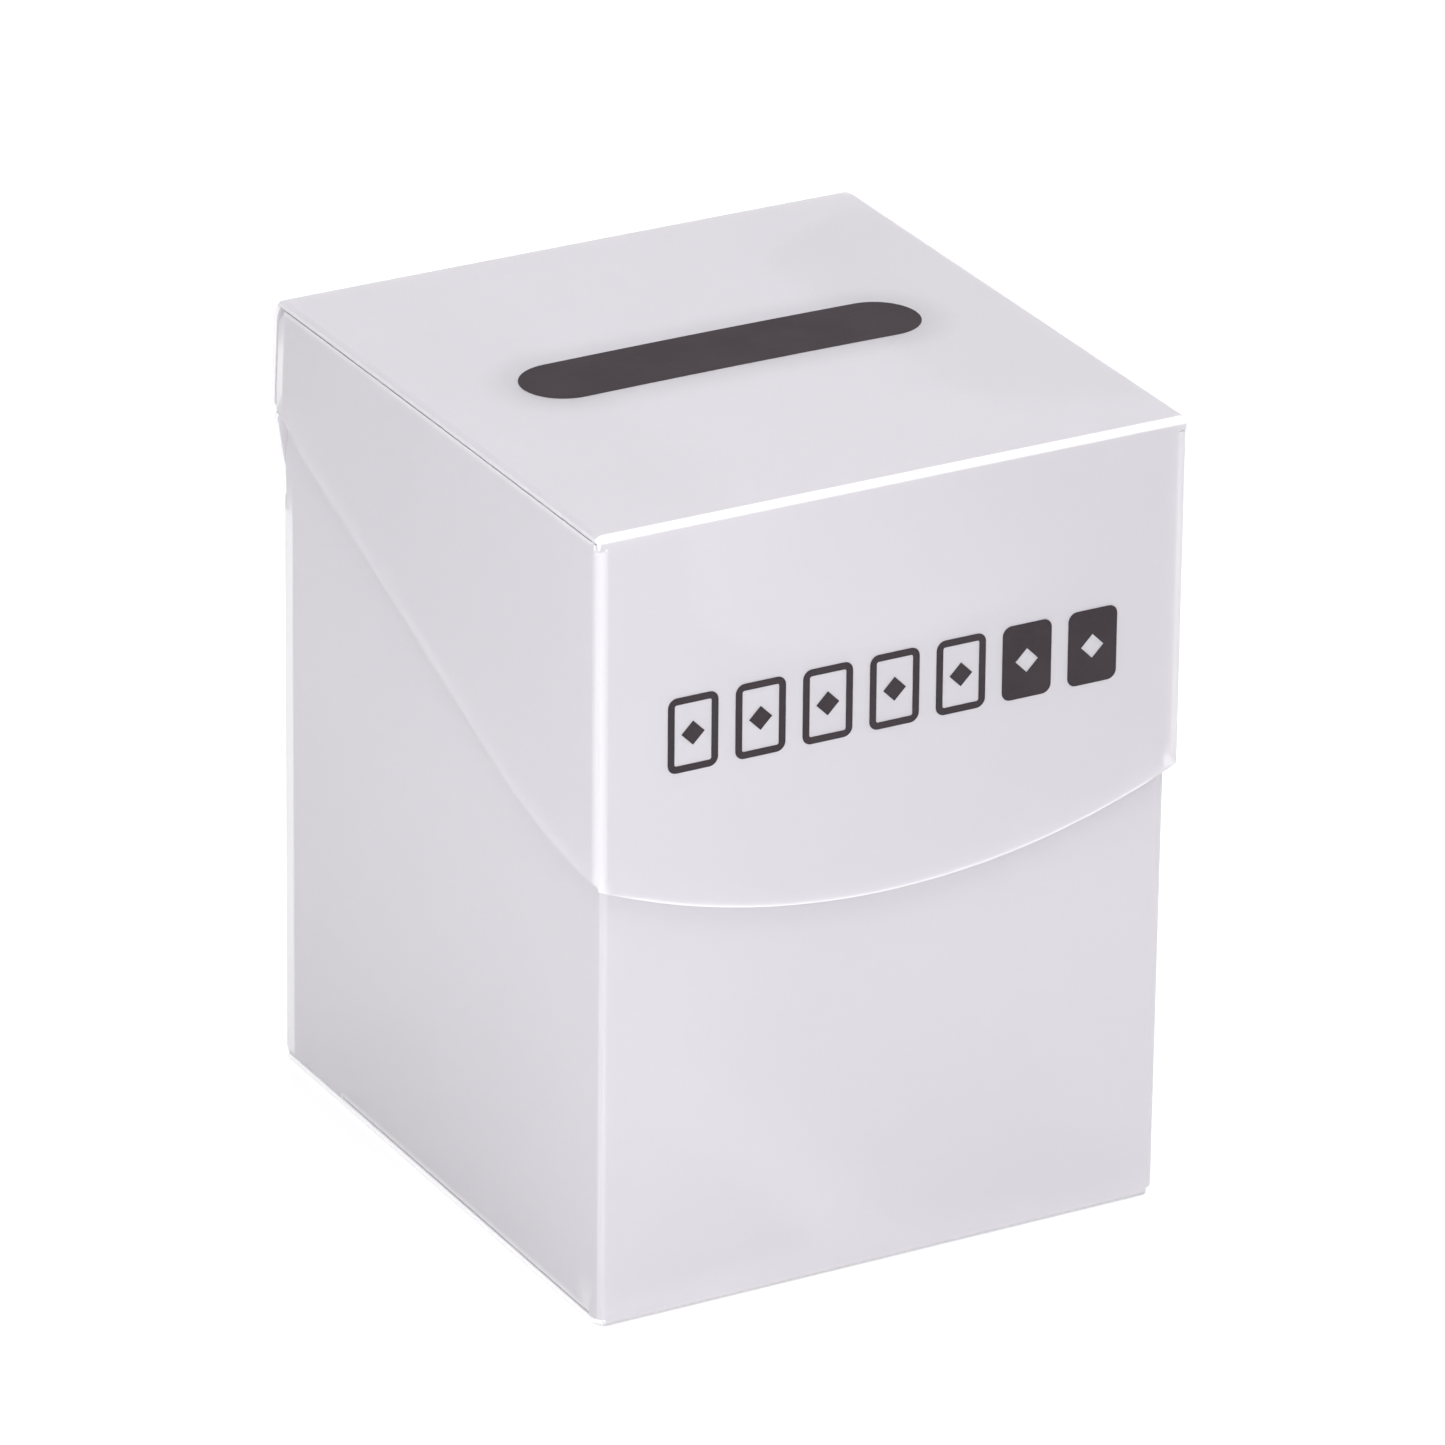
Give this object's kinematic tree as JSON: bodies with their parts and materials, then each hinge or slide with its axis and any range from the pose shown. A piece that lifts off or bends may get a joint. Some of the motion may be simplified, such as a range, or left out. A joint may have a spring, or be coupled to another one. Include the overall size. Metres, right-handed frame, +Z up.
{
  "type": "card deck box",
  "caption": "Upright box of folded frosted plastic sheet for sleeved cards, with a deep hooded lid on a living hinge across the back and a thumb scoop in the front wall.",
  "frame": {"origin": "centre of the underside of the box, on the surface it stands on", "axes": "+Z up, +X to the right, +Y to the back; the front flap and the thumb scoop face -Y"},
  "size_m": [0.0744, 0.0799, 0.0966],
  "materials": {
    "frosted_sheet": "frosted translucent polypropylene sheet, satin",
    "printed_ink": "dark grey screen-printed ink, satin"
  },
  "bodies": {
    "box": {"front_wall": "frosted_sheet", "left_wall": "frosted_sheet", "right_wall": "frosted_sheet", "back_wall": "frosted_sheet", "bottom_panel": "frosted_sheet", "bottom_left_flap": "frosted_sheet", "bottom_right_flap": "frosted_sheet", "bottom_rear_tab": "frosted_sheet", "seam_tab": "frosted_sheet", "living_hinge": "frosted_sheet"},
    "lid": {"back_strip": "frosted_sheet", "top_panel": "frosted_sheet", "front_flap": "frosted_sheet", "left_ear": "frosted_sheet", "right_ear": "frosted_sheet", "left_top_tab": "frosted_sheet", "right_top_tab": "frosted_sheet", "left_rear_tab": "frosted_sheet", "right_rear_tab": "frosted_sheet", "top_print": "printed_ink", "front_print": "printed_ink"}
  },
  "joints": [
    {"name": "lid_hinge", "type": "hinge", "parent": "box", "child": "lid", "pos_m": [0, 0.0396, 0.0822], "axis": [-1, 0, 0], "range_deg": [0, 175]}
  ]
}
